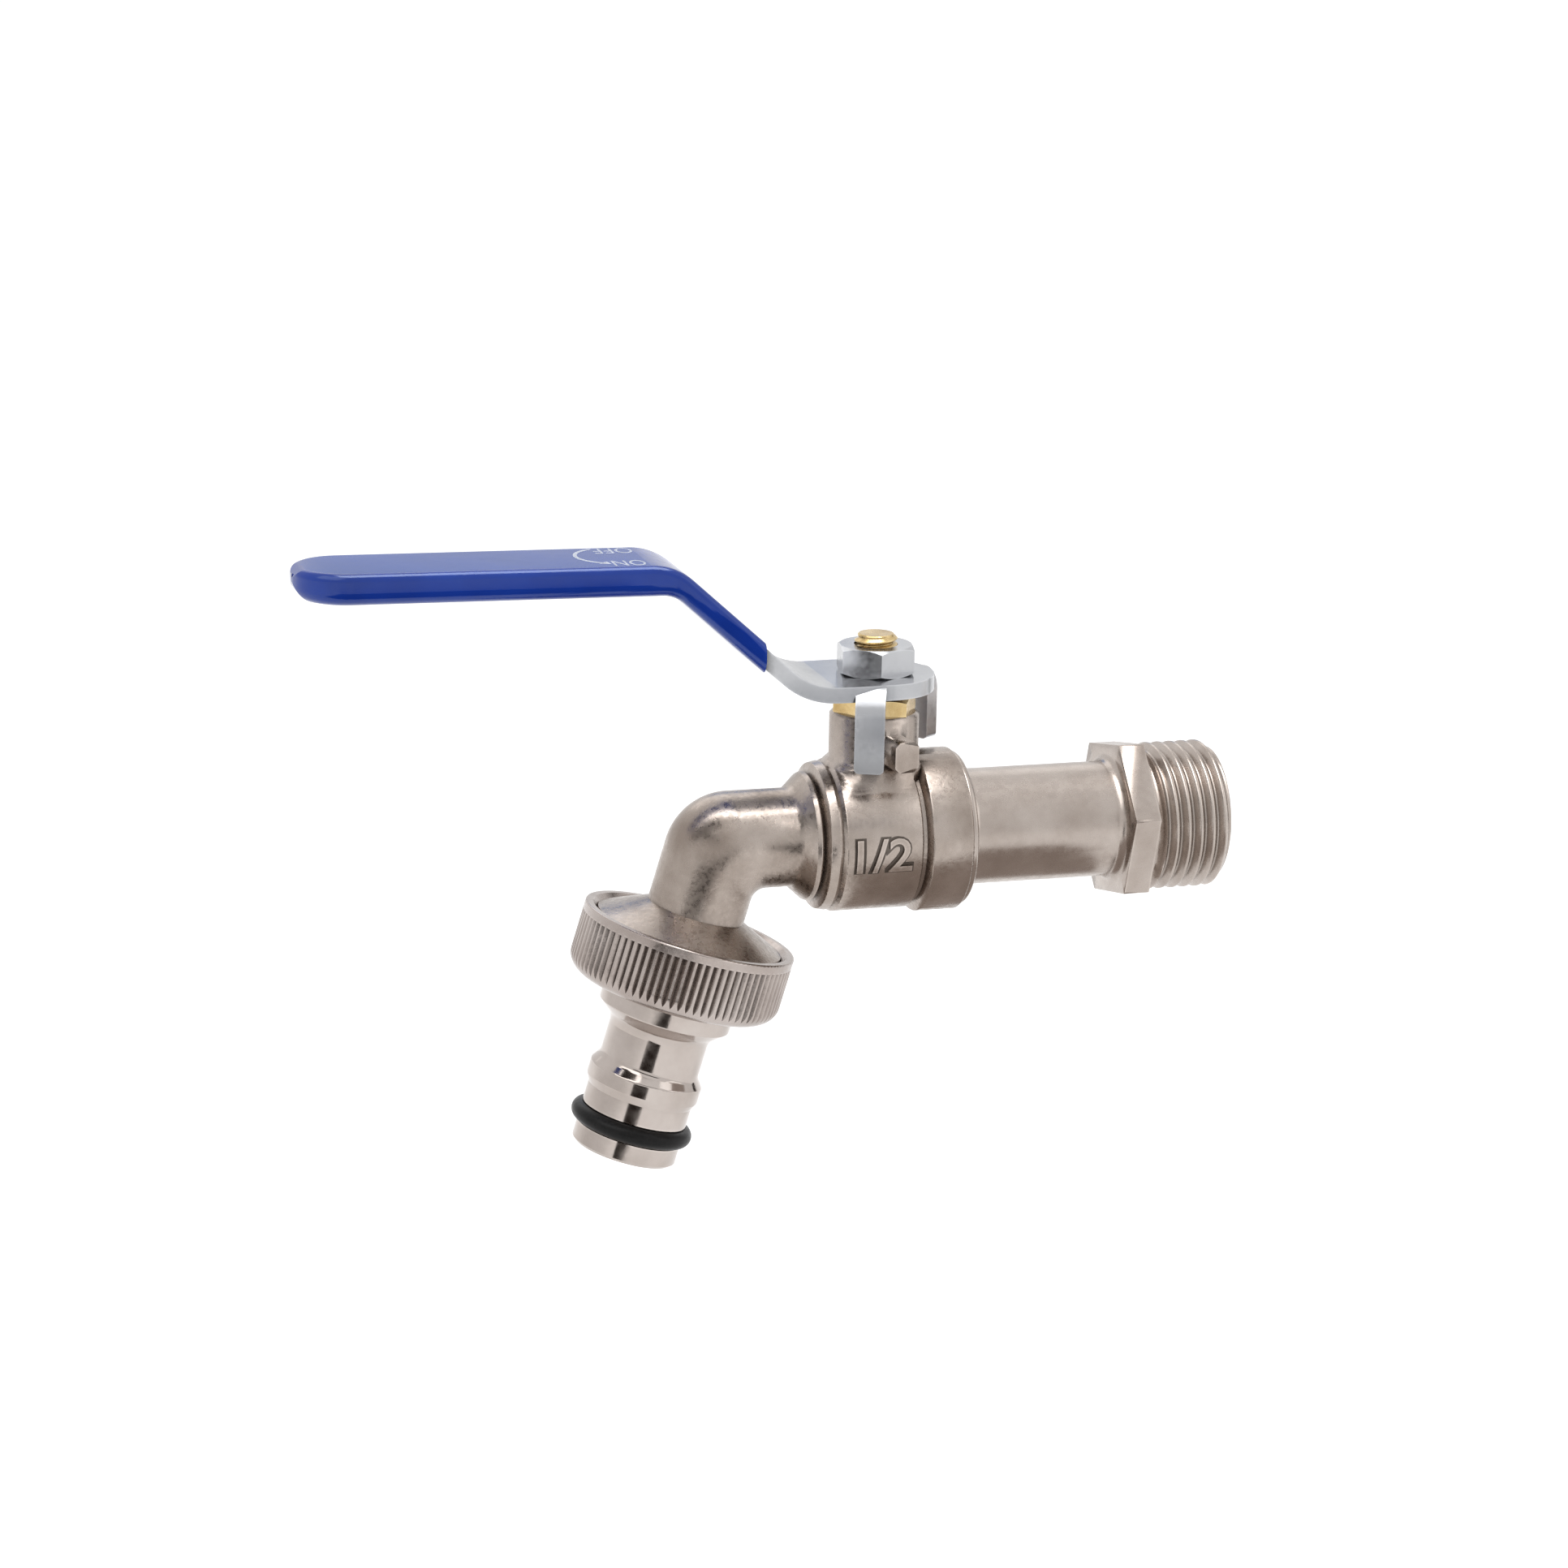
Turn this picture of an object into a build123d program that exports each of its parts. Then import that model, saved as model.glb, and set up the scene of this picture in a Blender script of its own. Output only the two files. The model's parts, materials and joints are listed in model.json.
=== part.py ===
"""Half-inch lever ball bibcock with a bent spout and a push-on hose nozzle.

Everything is modelled about the centre of the ball, with X along the barrel towards the inlet and Z up the
stem, and is then moved so that the origin lies on the inlet axis at the shoulder where the thread starts.
The spout and its fittings are turned about the outlet axis, with depths measured down it from the elbow.
"""
from build123d import *
import os
from math import asin, atan2, cos, degrees, hypot, pi, radians, sin, sqrt, tan

# Ball and seats
BALL_R = 8.5
BALL_BORE_R = 4.75
BALL_SLOT_WIDTH = 3.2
BALL_SLOT_WEB = 0.95
CAVITY_CLEARANCE = 0.4
SEAT_BORE_R = 5.0
SEAT_LIP = 0.65
SEAT_WIDTH = 3.0
SEAT_GAP = 0.05
SEAT_SIDE_CLEARANCE = 0.2

# Barrel, beads and end band of the body
BARREL_WALL = 1.8
BAND_STEP = 0.7
BAND_LENGTH = 5.8
BAND_GROOVE_WIDTH = 1.4
BAND_GROOVE_DEPTH = 0.6
BEAD_PITCH = 2.2
BEAD_DROP = 1.6
BEAD_GROOVE = 0.5
SHOULDER_RUN = 1.5
EDGE_ROUND = 0.25

# Spout and outlet
TUBE_R = 6.9
TUBE_WALL = 1.95
ELBOW_X = -22.4
OUTLET_LEAN = 16.4
HEEL_R = 9.0
THROAT_R = 2.0
ELBOW_SECTIONS = 7
FLARE_TOP = 10.2
FLARE_RUN = 3.0
OUTLET_THREAD_R = 26.441 / 2
OUTLET_THREAD_LENGTH = 4.3
THREAD_CLEARANCE = 0.15
END_CHAMFER = 0.5

# Stem tower and stop boss
TOWER_WALL = 1.24
TOWER_FOOT = 1.0
TOWER_RIM_CHAMFER = 0.5
LEDGE_HEIGHT = 1.4
BOSS_AZIMUTH = -81.0
BOSS_WIDTH = 3.6
BOSS_HEIGHT = 4.3
BOSS_REACH = 10.4
BOSS_CHAMFER = 0.7
BOSS_DROP = 2.3

# Stem, packing and gland
STEM_R = 4.0
STEM_CLEARANCE = 0.06
TANG_WIDTH = 3.0
TANG_END_GAP = 0.25
COLLAR_R = 5.1
COLLAR_HEIGHT = 0.95
COLLAR_GAP = 0.4
POCKET_CLEARANCE = 0.2
THRUST_WASHER_HEIGHT = 0.7
AXIAL_GAP = 0.05
PACKING_HEIGHT = 2.2
PACKING_WALL = 0.95
GLAND_DEPTH = 3.4
GLAND_HEAD = 2.3
GLAND_HEAD_STEP = 0.19
GLAND_CLEARANCE = 0.05
STEM_FLATS = 5.6
STEM_SCREW_R = 3.0
STEM_TOP_ABOVE_PLATE = 5.5
STEM_CHAMFER = 0.6

# Lever, sleeve and nut
LEVER_GAP = 0.9
PLATE = 2.2
HUB_R = 8.2
HUB_WIDEST = 16.8
HUB_WIDEST_X = -4.0
NECK_WIDTH = 15.8
NECK_X = -16.0
NECK_ROUND = 8.0
LEVER_WIDTH = 12.8
LEVER_REACH = 80.6
LEVER_BEND_X = -11.9
LEVER_SLANT = 41.7
LEVER_RISE = 16.8
GRIP_TILT = 0.7
LEVER_LOWER_BEND_R = 9.0
LEVER_UPPER_BEND_R = 4.5
HOLE_CLEARANCE = 0.1
TAB_WIDTH = 4.1
OPEN_TAB_INSIDE_R = 8.6
CLOSED_TAB_INSIDE_R = 9.3
TAB_BEND_R = 1.8
TAB_CORNER_R = 0.7
TAB_GROUND_CLEARANCE = 0.6
OPEN_STOP_GAP = 4.6
CLOSED_STOP_GAP = 1.2
LEVER_TRAVEL = 90.0
SLEEVE_SIDE = 0.7
SLEEVE_END = 0.9
SLEEVE_SLANT_WALL = 0.5
SLEEVE_GRIP_TOP = 0.8
SLEEVE_GRIP_BOTTOM = 1.4
SLEEVE_START_RUN = 6.2
SLEEVE_TOP_ROUND = 1.0
SLEEVE_BOTTOM_ROUND = 1.9
SLEEVE_NOSE_TOP_R = 1.7
SLEEVE_NOSE_BOTTOM_R = 2.9
NUT_FLATS = 10.0
NUT_HEIGHT = 4.0
NUT_TURN = 21.0

# Inlet tail
INLET_THREAD_R = 20.955 / 2
INLET_THREAD_LENGTH = 11.5
INLET_CHAMFER = 1.0
INLET_HEX_FLATS = 21.0
INLET_HEX_LENGTH = 3.7
INLET_HEX_TURN = 18.0
SHANK_R = 8.15
SHANK_LENGTH = 22.7
SHANK_ROUND = 1.2
TAIL_FLANGE_DROP = 0.5
TAIL_FLANGE_LENGTH = 1.0
TAIL_FLANGE_ROUND = 0.6
TAIL_NOSE_LENGTH = 3.8
TAIL_SCREW_STEP = 0.85
TAIL_CLEARANCE = 0.05
INLET_BORE_R = 6.0
BORE_CHAMFER = 0.5
INLET_HEX_ROUND = 0.4
HEX_CHAMFER_ANGLE = 30.0

# Union nut, nozzle and its seals
UNION_WALL = 1.73
UNION_HEIGHT = 9.8
UNION_RIM = 1.3
UNION_RIM_ABOVE_FLARE = 0.4
UNION_LIP = 1.5
UNION_ROUND = 2.6
UNION_MOUTH = 0.7
KNURL_COUNT = 84
KNURL_DEPTH = 0.45
KNURL_HALF_WIDTH = 0.4
NOZZLE_WASHER_HEIGHT = 1.6
NOZZLE_FLANGE_STEP = 0.62
NOZZLE_FLANGE_GAP = 0.05
NOZZLE_BOSS_R = 9.4
NOZZLE_BOSS_LENGTH = 2.9
NOZZLE_CONE_LENGTH = 2.0
NOZZLE_BOSS_CLEARANCE = 0.3
NOZZLE_NECK_R = 7.1
NOZZLE_NECK_LENGTH = 5.5
NOZZLE_RIDGE_R = 8.05
NOZZLE_RIDGE_RAMP = 1.3
NOZZLE_RIDGE_LENGTH = 2.1
NOZZLE_RIDGE_ROUND = 0.6
NOZZLE_LAND_R = 7.5
NOZZLE_LAND_RAMP = 1.1
NOZZLE_LAND_LENGTH = 2.8
NOZZLE_TIP_LENGTH = 2.8
NOZZLE_TIP_CHAMFER = 0.4
NOZZLE_BORE_R = 4.6
O_RING_R = 8.7
O_RING_SECTION_R = 1.3
O_RING_FLOOR_GAP = 0.05
O_RING_SIDE_GAP = 0.15

# Radii and stations along the barrel
CAVITY_R = BALL_R + CAVITY_CLEARANCE
BARREL_R = CAVITY_R + BARREL_WALL
BAND_R = BARREL_R + BAND_STEP
TAIL_FLANGE_R = BAND_R - TAIL_FLANGE_DROP
SEAT_SPHERE_R = BALL_R + SEAT_GAP
SEAT_BACK = sqrt(SEAT_SPHERE_R**2 - SEAT_BORE_R**2) + SEAT_LIP
SCREW_BORE_R = CAVITY_R + TAIL_SCREW_STEP
WATERWAY_R = TUBE_R - TUBE_WALL
PARTING_X = SEAT_BACK + TAIL_NOSE_LENGTH
BAND_X = PARTING_X - BAND_LENGTH
SHANK_X = PARTING_X + TAIL_FLANGE_LENGTH
HEX_X = SHANK_X + SHANK_LENGTH
SHOULDER_X = HEX_X + INLET_HEX_LENGTH
INLET_END_X = SHOULDER_X + INLET_THREAD_LENGTH
BEAD_TOP_R = BARREL_R - BEAD_GROOVE / 2
BEAD_LOW_R = BARREL_R - BEAD_DROP
BARREL_LEFT_X = -SEAT_BACK + 2 * BEAD_GROOVE
TUBE_START_X = BARREL_LEFT_X - 2 * BEAD_PITCH - SHOULDER_RUN

# Heights up the stem
SLOT_FLOOR_Z = BALL_BORE_R + BALL_SLOT_WEB
COLLAR_Z = BALL_R + COLLAR_GAP
WASHER_Z = COLLAR_Z + COLLAR_HEIGHT + AXIAL_GAP
LEDGE_Z = WASHER_Z + THRUST_WASHER_HEIGHT
PACKING_Z = LEDGE_Z + LEDGE_HEIGHT
GLAND_Z = PACKING_Z + PACKING_HEIGHT
TOWER_TOP_Z = GLAND_Z + GLAND_DEPTH
PLATE_Z = TOWER_TOP_Z + GLAND_HEAD + LEVER_GAP
PLATE_TOP_Z = PLATE_Z + PLATE
STEM_TOP_Z = PLATE_TOP_Z + STEM_TOP_ABOVE_PLATE
PACKING_R = STEM_R + STEM_CLEARANCE + PACKING_WALL
TOWER_R = PACKING_R + TOWER_WALL
GLAND_FLATS = 2 * (PACKING_R + GLAND_HEAD_STEP)
BOSS_TOP_Z = TOWER_TOP_Z - BOSS_DROP

# Depths down the outlet axis
UNION_THREAD_R = OUTLET_THREAD_R + THREAD_CLEARANCE
UNION_R = UNION_THREAD_R + UNION_WALL
NOZZLE_FLANGE_R = OUTLET_THREAD_R - NOZZLE_FLANGE_STEP
FLARE_EDGE = FLARE_TOP + FLARE_RUN
SPOUT_END = FLARE_EDGE + OUTLET_THREAD_LENGTH
UNION_TOP = FLARE_EDGE - UNION_RIM_ABOVE_FLARE
UNION_BOTTOM = UNION_TOP + UNION_HEIGHT
NOZZLE_TOP = SPOUT_END + NOZZLE_WASHER_HEIGHT
LIP_TOP = UNION_BOTTOM - UNION_LIP
OUTLET = Pos(ELBOW_X, 0, 0) * Rot(0, OUTLET_LEAN, 0)

# Along the lever
SLEEVE_START_X = LEVER_BEND_X - SLEEVE_START_RUN


def stop_angle(inside_r):
    """Angle between a tab and the boss when the tab's inner corner meets the boss."""
    corner_reach = hypot(inside_r, TAB_WIDTH / 2)
    return degrees(atan2(TAB_WIDTH / 2, inside_r) + asin(BOSS_WIDTH / 2 / corner_reach))


OPEN_TAB_AZIMUTH = BOSS_AZIMUTH - stop_angle(OPEN_TAB_INSIDE_R) - OPEN_STOP_GAP
CLOSED_TAB_AZIMUTH = BOSS_AZIMUTH + stop_angle(CLOSED_TAB_INSIDE_R) + CLOSED_STOP_GAP + LEVER_TRAVEL


def flat_face(corners, rounds=()):
    """Flat face through the corners; rounds holds (corner number, fillet radius) pairs."""
    face = make_face(Polyline(*corners, close=True)).face()
    for corner, size in rounds:
        nearest = face.vertices().sort_by_distance(corners[corner])[0]
        face = face.fillet_2d(size, [nearest])
    return face


def turned(outline, rounds=()):
    """Solid turned about Z from (radius, height) points, some of its corners rounded."""
    return revolve(flat_face([(r, 0, z) for r, z in outline], rounds), Axis.Z)


def turned_along_x(outline, rounds=()):
    """The same, turned about the barrel axis from (radius, x) points."""
    return Rot(0, 90, 0) * turned(outline, rounds)


def turned_down(outline, rounds=()):
    """The same, turned about the outlet axis from (radius, depth) points."""
    return OUTLET * turned([(r, -depth) for r, depth in outline], rounds)


def tube(inside_r, outside_r, low, high):
    """Plain ring about Z."""
    return turned([(inside_r, low), (outside_r, low), (outside_r, high), (inside_r, high)])


def hexagon(flats, low, high, chamfer_low=True, chamfer_high=True):
    """Hexagonal prism about Z, its corners turned off at the chosen ends."""
    inscribed = flats / 2
    corner = flats / sqrt(3)
    prism = extrude(Pos(0, 0, low) * RegularPolygon(corner, 6), high - low)
    drop = (corner - inscribed) * sin(radians(HEX_CHAMFER_ANGLE)) / cos(radians(HEX_CHAMFER_ANGLE))
    low_drop = drop if chamfer_low else 0
    high_drop = drop if chamfer_high else 0
    blank = [(0, low), (inscribed if chamfer_low else corner, low), (corner, low + low_drop)]
    blank += [(corner, high - high_drop), (inscribed if chamfer_high else corner, high), (0, high)]
    outline = [point for index, point in enumerate(blank) if index == 0 or point != blank[index - 1]]
    return prism & turned(outline)


def elbow(tube_r, heel_r, throat_r, start_x, end_depth):
    """Bent spout of round section, with a wide heel and a tight throat, from the barrel to the flare."""
    turn = radians(90 - OUTLET_LEAN)
    corner = Vector(ELBOW_X, 0, 0)
    down = Vector(-sin(radians(OUTLET_LEAN)), 0, -cos(radians(OUTLET_LEAN)))
    inward = (Vector(1, 0, 0) + down).normalized()
    heel_centre = corner + inward * ((heel_r - tube_r) / cos(turn / 2))
    throat_centre = corner + inward * ((throat_r + tube_r) / cos(turn / 2))
    sections = []
    for index in range(ELBOW_SECTIONS):
        angle = pi / 2 + turn * index / (ELBOW_SECTIONS - 1)
        outward = Vector(cos(angle), 0, sin(angle))
        heel = heel_centre + outward * heel_r
        throat = throat_centre + outward * throat_r
        chord = heel - throat
        plane = Plane((heel + throat) * 0.5, x_dir=chord, z_dir=chord.cross(Vector(0, 1, 0)))
        sections.append(plane * Ellipse(chord.length / 2, tube_r))
    first = Plane((start_x, 0, 0), x_dir=(0, 0, 1), z_dir=(-1, 0, 0)) * Circle(tube_r)
    last = Plane(corner + down * end_depth, x_dir=down.cross(Vector(0, -1, 0)), z_dir=down) * Circle(tube_r)
    run_in = loft([first, sections[0]], ruled=True)
    run_out = loft([sections[-1], last], ruled=True)
    return run_in + loft(sections) + run_out


def body_barrel():
    """Barrel with its two beads, the groove and the end band, before it is bored."""
    groove_x = BAND_X - BAND_GROOVE_WIDTH
    groove_r = BARREL_R - BAND_GROOVE_DEPTH
    first_groove = BARREL_LEFT_X - BEAD_GROOVE
    second_groove = BARREL_LEFT_X - BEAD_PITCH - BEAD_GROOVE
    outline = [
        (0, TUBE_START_X),
        (TUBE_R, TUBE_START_X),
        (BEAD_LOW_R - BEAD_GROOVE / 2, second_groove - BEAD_PITCH / 2),
        (BEAD_LOW_R, second_groove - BEAD_GROOVE),
        (BEAD_LOW_R - BEAD_GROOVE, second_groove),
        (BEAD_TOP_R - BEAD_GROOVE / 2, second_groove + BEAD_GROOVE),
        (BEAD_TOP_R, first_groove - BEAD_GROOVE),
        (BARREL_R - BEAD_GROOVE, first_groove),
        (BARREL_R, BARREL_LEFT_X),
        (BARREL_R, groove_x),
        (groove_r, groove_x + BAND_GROOVE_DEPTH / 2),
        (groove_r, BAND_X - BAND_GROOVE_DEPTH),
        (BAND_R, BAND_X),
        (BAND_R, PARTING_X),
        (0, PARTING_X),
    ]
    crests = [(corner, EDGE_ROUND) for corner in (2, 3, 5, 6, 8, 9, 12, 13)]
    return turned_along_x(outline, crests)


def body_tower():
    """Stem tower with its spread foot and chamfered rim."""
    rim = TOWER_RIM_CHAMFER
    outline = [
        (0, 0),
        (TOWER_R + TOWER_FOOT, 0),
        (TOWER_R + TOWER_FOOT, BARREL_R - TOWER_FOOT / 2),
        (TOWER_R, BARREL_R + TOWER_FOOT / 2),
        (TOWER_R, TOWER_TOP_Z - rim),
        (TOWER_R - rim, TOWER_TOP_Z),
        (0, TOWER_TOP_Z),
    ]
    return turned(outline)


def body_boss():
    """Stop boss on the tower, its front corners chamfered."""
    low = BOSS_TOP_Z - BOSS_HEIGHT
    front = Plane((BOSS_REACH, 0, low + BOSS_HEIGHT / 2), x_dir=(0, 1, 0), z_dir=(-1, 0, 0))
    face = front * chamfer(Rectangle(BOSS_WIDTH, BOSS_HEIGHT).vertices(), BOSS_CHAMFER)
    return Rot(0, 0, BOSS_AZIMUTH) * extrude(face, BOSS_REACH - TOWER_R / 2)


def body_outlet():
    """Flare under the elbow and the outlet thread, smooth at its outside diameter."""
    outline = [
        (0, FLARE_TOP),
        (TUBE_R, FLARE_TOP),
        (OUTLET_THREAD_R, FLARE_EDGE),
        (OUTLET_THREAD_R, SPOUT_END - END_CHAMFER),
        (OUTLET_THREAD_R - END_CHAMFER, SPOUT_END),
        (0, SPOUT_END),
    ]
    return turned_down(outline)


def make_body():
    """Cast body: barrel, tower, boss and spout in one, with its cavity, stem bore and waterway."""
    solid = body_barrel() + body_tower() + body_boss() + body_outlet()
    solid += elbow(TUBE_R, HEEL_R, THROAT_R, TUBE_START_X, FLARE_TOP)
    cavity = turned_along_x([
        (0, -SEAT_BACK),
        (CAVITY_R, -SEAT_BACK),
        (CAVITY_R, SEAT_BACK - BORE_CHAMFER),
        (SCREW_BORE_R, SEAT_BACK - BORE_CHAMFER),
        (SCREW_BORE_R, PARTING_X),
        (0, PARTING_X),
    ])
    stem_bore = turned([
        (0, 0),
        (COLLAR_R + POCKET_CLEARANCE, 0),
        (COLLAR_R + POCKET_CLEARANCE, LEDGE_Z),
        (STEM_R + STEM_CLEARANCE, LEDGE_Z),
        (STEM_R + STEM_CLEARANCE, PACKING_Z),
        (PACKING_R, PACKING_Z),
        (PACKING_R, TOWER_TOP_Z),
        (0, TOWER_TOP_Z),
    ])
    heel_r = HEEL_R - TUBE_WALL
    throat_r = THROAT_R + TUBE_WALL
    waterway = elbow(WATERWAY_R, heel_r, throat_r, -SEAT_BACK, SPOUT_END)
    return solid - cavity - stem_bore - waterway


def make_inlet_tail():
    """Turned tail: screwed nose, flange, shank, hexagon and inlet thread, smooth at its outside diameter."""
    nose_r = SCREW_BORE_R - TAIL_CLEARANCE
    outline = [
        (INLET_BORE_R, SEAT_BACK),
        (nose_r, SEAT_BACK),
        (nose_r, PARTING_X),
        (TAIL_FLANGE_R, PARTING_X),
        (TAIL_FLANGE_R, SHANK_X),
        (SHANK_R, SHANK_X),
        (SHANK_R, HEX_X),
        (INLET_THREAD_R, HEX_X),
        (INLET_THREAD_R, INLET_END_X - INLET_CHAMFER),
        (INLET_THREAD_R - INLET_CHAMFER, INLET_END_X),
        (INLET_BORE_R + BORE_CHAMFER, INLET_END_X),
        (INLET_BORE_R, INLET_END_X - BORE_CHAMFER),
    ]
    rounds = [(3, EDGE_ROUND), (4, TAIL_FLANGE_ROUND), (5, SHANK_ROUND), (6, SHANK_ROUND)]
    tail = turned_along_x(outline, rounds)
    section = RegularPolygon(INLET_HEX_FLATS / sqrt(3), 6, rotation=INLET_HEX_TURN)
    section = fillet(section.vertices(), INLET_HEX_ROUND)
    nut = Rot(0, 90, 0) * Pos(0, 0, HEX_X) * extrude(section - Circle(INLET_BORE_R), INLET_HEX_LENGTH)
    return tail + nut


def make_ball():
    """Drilled ball with the slot across its top that the stem's tang turns."""
    waterway = Rot(0, 90, 0) * Cylinder(BALL_BORE_R, 4 * BALL_R)
    slot = Pos(0, 0, SLOT_FLOOR_Z + BALL_R / 2) * Box(BALL_SLOT_WIDTH, 4 * BALL_R, BALL_R)
    return Sphere(BALL_R) - waterway - slot


def make_seat_ring(side):
    """Seat ring with a spherical face; side is 1 at the inlet and -1 at the outlet."""
    outside_r = CAVITY_R - SEAT_SIDE_CLEARANCE
    ring = tube(SEAT_BORE_R, outside_r, SEAT_BACK - SEAT_WIDTH, SEAT_BACK) - Sphere(SEAT_SPHERE_R)
    return Rot(0, 90 * side, 0) * ring


def make_stem():
    """Stem with its tang, retaining collar, two flats for the lever and a screwed end."""
    shaft = turned([
        (0, SLOT_FLOOR_Z + TANG_END_GAP),
        (STEM_R, SLOT_FLOOR_Z + TANG_END_GAP),
        (STEM_R, COLLAR_Z),
        (COLLAR_R, COLLAR_Z),
        (COLLAR_R, COLLAR_Z + COLLAR_HEIGHT),
        (STEM_R, COLLAR_Z + COLLAR_HEIGHT),
        (STEM_R, PLATE_TOP_Z - HOLE_CLEARANCE),
        (STEM_SCREW_R, PLATE_TOP_Z - HOLE_CLEARANCE),
        (STEM_SCREW_R, STEM_TOP_Z - STEM_CHAMFER),
        (STEM_SCREW_R - STEM_CHAMFER, STEM_TOP_Z),
        (0, STEM_TOP_Z),
    ])
    tang_height = COLLAR_Z - SLOT_FLOOR_Z
    for side in (1, -1):
        beside_tang = Box(STEM_R, 4 * STEM_R, tang_height)
        shaft -= Pos(side * (TANG_WIDTH + STEM_R) / 2, 0, COLLAR_Z - tang_height / 2) * beside_tang
        beside_flat = Box(4 * STEM_R, STEM_R, PLATE)
        shaft -= Pos(0, side * (STEM_FLATS + STEM_R) / 2, PLATE_Z + PLATE / 2) * beside_flat
    return shaft


def make_stem_thrust_washer():
    """Washer between the stem's collar and the ledge in the tower."""
    return tube(STEM_R + STEM_CLEARANCE, COLLAR_R, WASHER_Z, LEDGE_Z)


def make_stem_packing():
    """Packing ring round the stem, pressed down by the gland nut."""
    return tube(STEM_R + STEM_CLEARANCE, PACKING_R - GLAND_CLEARANCE, PACKING_Z, GLAND_Z)


def make_gland_nut():
    """Gland nut screwed into the tower, its hexagon resting on the rim."""
    screw = tube(STEM_R + STEM_CLEARANCE, PACKING_R - GLAND_CLEARANCE, GLAND_Z, TOWER_TOP_Z)
    head = hexagon(GLAND_FLATS, TOWER_TOP_Z, TOWER_TOP_Z + GLAND_HEAD, chamfer_low=False)
    return screw + (head - Pos(0, 0, TOWER_TOP_Z) * Cylinder(STEM_R + STEM_CLEARANCE, 4 * GLAND_HEAD))


def offset_runs(points, offsets):
    """Corners of a bent line in the XZ plane, each straight run moved sideways by its own offset."""
    moved = []
    for start, end, offset in zip(points, points[1:], offsets):
        along = (end - start).normalized()
        across = along.cross(Vector(0, -1, 0))
        moved.append((start + across * offset, end + across * offset, along))
    corners = [moved[0][0]]
    for before, after in zip(moved, moved[1:]):
        gap = after[0] - before[0]
        distance = gap.cross(after[2]).Y / before[2].cross(after[2]).Y
        corners.append(before[0] + before[2] * distance)
    return corners + [moved[-1][1]]


def bent_strip(run_ends, above, below, bend_radii, width):
    """Strip of the given width that follows the lever's bends, with one offset above and below each run."""
    upper = offset_runs(run_ends, above)
    lower = offset_runs(run_ends, [-offset for offset in below])
    corners = upper + lower[::-1]
    last = len(corners) - 1
    rounds = []
    for index, inside_r in enumerate(bend_radii, start=1):
        thickness = above[index] + below[index]
        turns_up = (run_ends[index + 1] - run_ends[index]).Z > (run_ends[index] - run_ends[index - 1]).Z
        upper_r = inside_r if turns_up else inside_r + thickness
        lower_r = inside_r + thickness if turns_up else inside_r
        rounds += [(index, upper_r), (last - index, lower_r)]
    return extrude(flat_face(corners, rounds), width / 2, dir=(0, 1, 0), both=True)


def lever_runs(right_x, left_x):
    """Ends of the lever's straight runs along the middle of its plate."""
    middle_z = PLATE_Z + PLATE / 2
    grip_x = LEVER_BEND_X - LEVER_RISE * cos(radians(LEVER_SLANT)) / sin(radians(LEVER_SLANT))
    return [
        Vector(right_x, 0, middle_z),
        Vector(LEVER_BEND_X, 0, middle_z),
        Vector(grip_x, 0, middle_z + LEVER_RISE),
        Vector(left_x, 0, middle_z + LEVER_RISE + (grip_x - left_x) * tan(radians(GRIP_TILT))),
    ]


def lever_plan(margin, end_margin):
    """Plan of the lever, from its round end to its round hub, grown by margins at the sides and the end."""
    half = LEVER_WIDTH / 2 + margin
    grip_x = lever_runs(0, -LEVER_REACH)[2].X
    end_x = half - LEVER_REACH - end_margin
    side = [
        (end_x, half),
        (grip_x, half),
        (NECK_X, NECK_WIDTH / 2 + margin),
        (HUB_WIDEST_X, HUB_WIDEST / 2 + margin),
        (0, HUB_R + margin),
    ]
    outline = side + [(x, -y) for x, y in side[::-1]]
    rounds = [(1, NECK_ROUND), (2, NECK_ROUND), (7, NECK_ROUND), (8, NECK_ROUND)]
    return flat_face(outline, rounds) + Circle(HUB_R + margin) + Pos(end_x, 0) * Circle(half)


def stop_tab(azimuth, inside_r, low):
    """Tab turned down from the hub; it starts inside the hub plate."""
    outside_r = inside_r + PLATE
    outline = [
        (STEM_R + PLATE, PLATE_Z),
        (inside_r, PLATE_Z),
        (inside_r, low),
        (outside_r, low),
        (outside_r, PLATE_TOP_Z),
        (STEM_R + PLATE, PLATE_TOP_Z),
    ]
    bends = [(1, TAB_BEND_R), (4, TAB_BEND_R + PLATE)]
    face = flat_face([(r, 0, z) for r, z in outline], bends)
    tab = extrude(face, TAB_WIDTH / 2, dir=(0, 1, 0), both=True)
    foot_edges = tab.edges().filter_by(Axis.X).group_by(Axis.Z)[0]
    return Rot(0, 0, azimuth) * fillet(foot_edges, TAB_CORNER_R)


def make_lever():
    """Steel lever: bent plate, hub with two stop tabs and a hole with two flats for the stem."""
    half = PLATE / 2
    bends = [LEVER_LOWER_BEND_R, LEVER_UPPER_BEND_R]
    strip = bent_strip(lever_runs(HUB_R, -LEVER_REACH), [half] * 3, [half] * 3, bends, 2 * HUB_WIDEST)
    lever = strip & extrude(lever_plan(0, 0), PLATE_TOP_Z + LEVER_RISE + PLATE)
    open_tab_low = BEAD_TOP_R + TAB_GROUND_CLEARANCE
    closed_tab_low = BAND_R + TAB_GROUND_CLEARANCE
    lever += stop_tab(OPEN_TAB_AZIMUTH, OPEN_TAB_INSIDE_R, open_tab_low)
    lever += stop_tab(CLOSED_TAB_AZIMUTH, CLOSED_TAB_INSIDE_R, closed_tab_low)
    hole = Circle(STEM_R + HOLE_CLEARANCE) & Rectangle(4 * STEM_R, STEM_FLATS + 2 * HOLE_CLEARANCE)
    return lever - Pos(0, 0, PLATE_Z - PLATE) * extrude(hole, 3 * PLATE)


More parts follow.
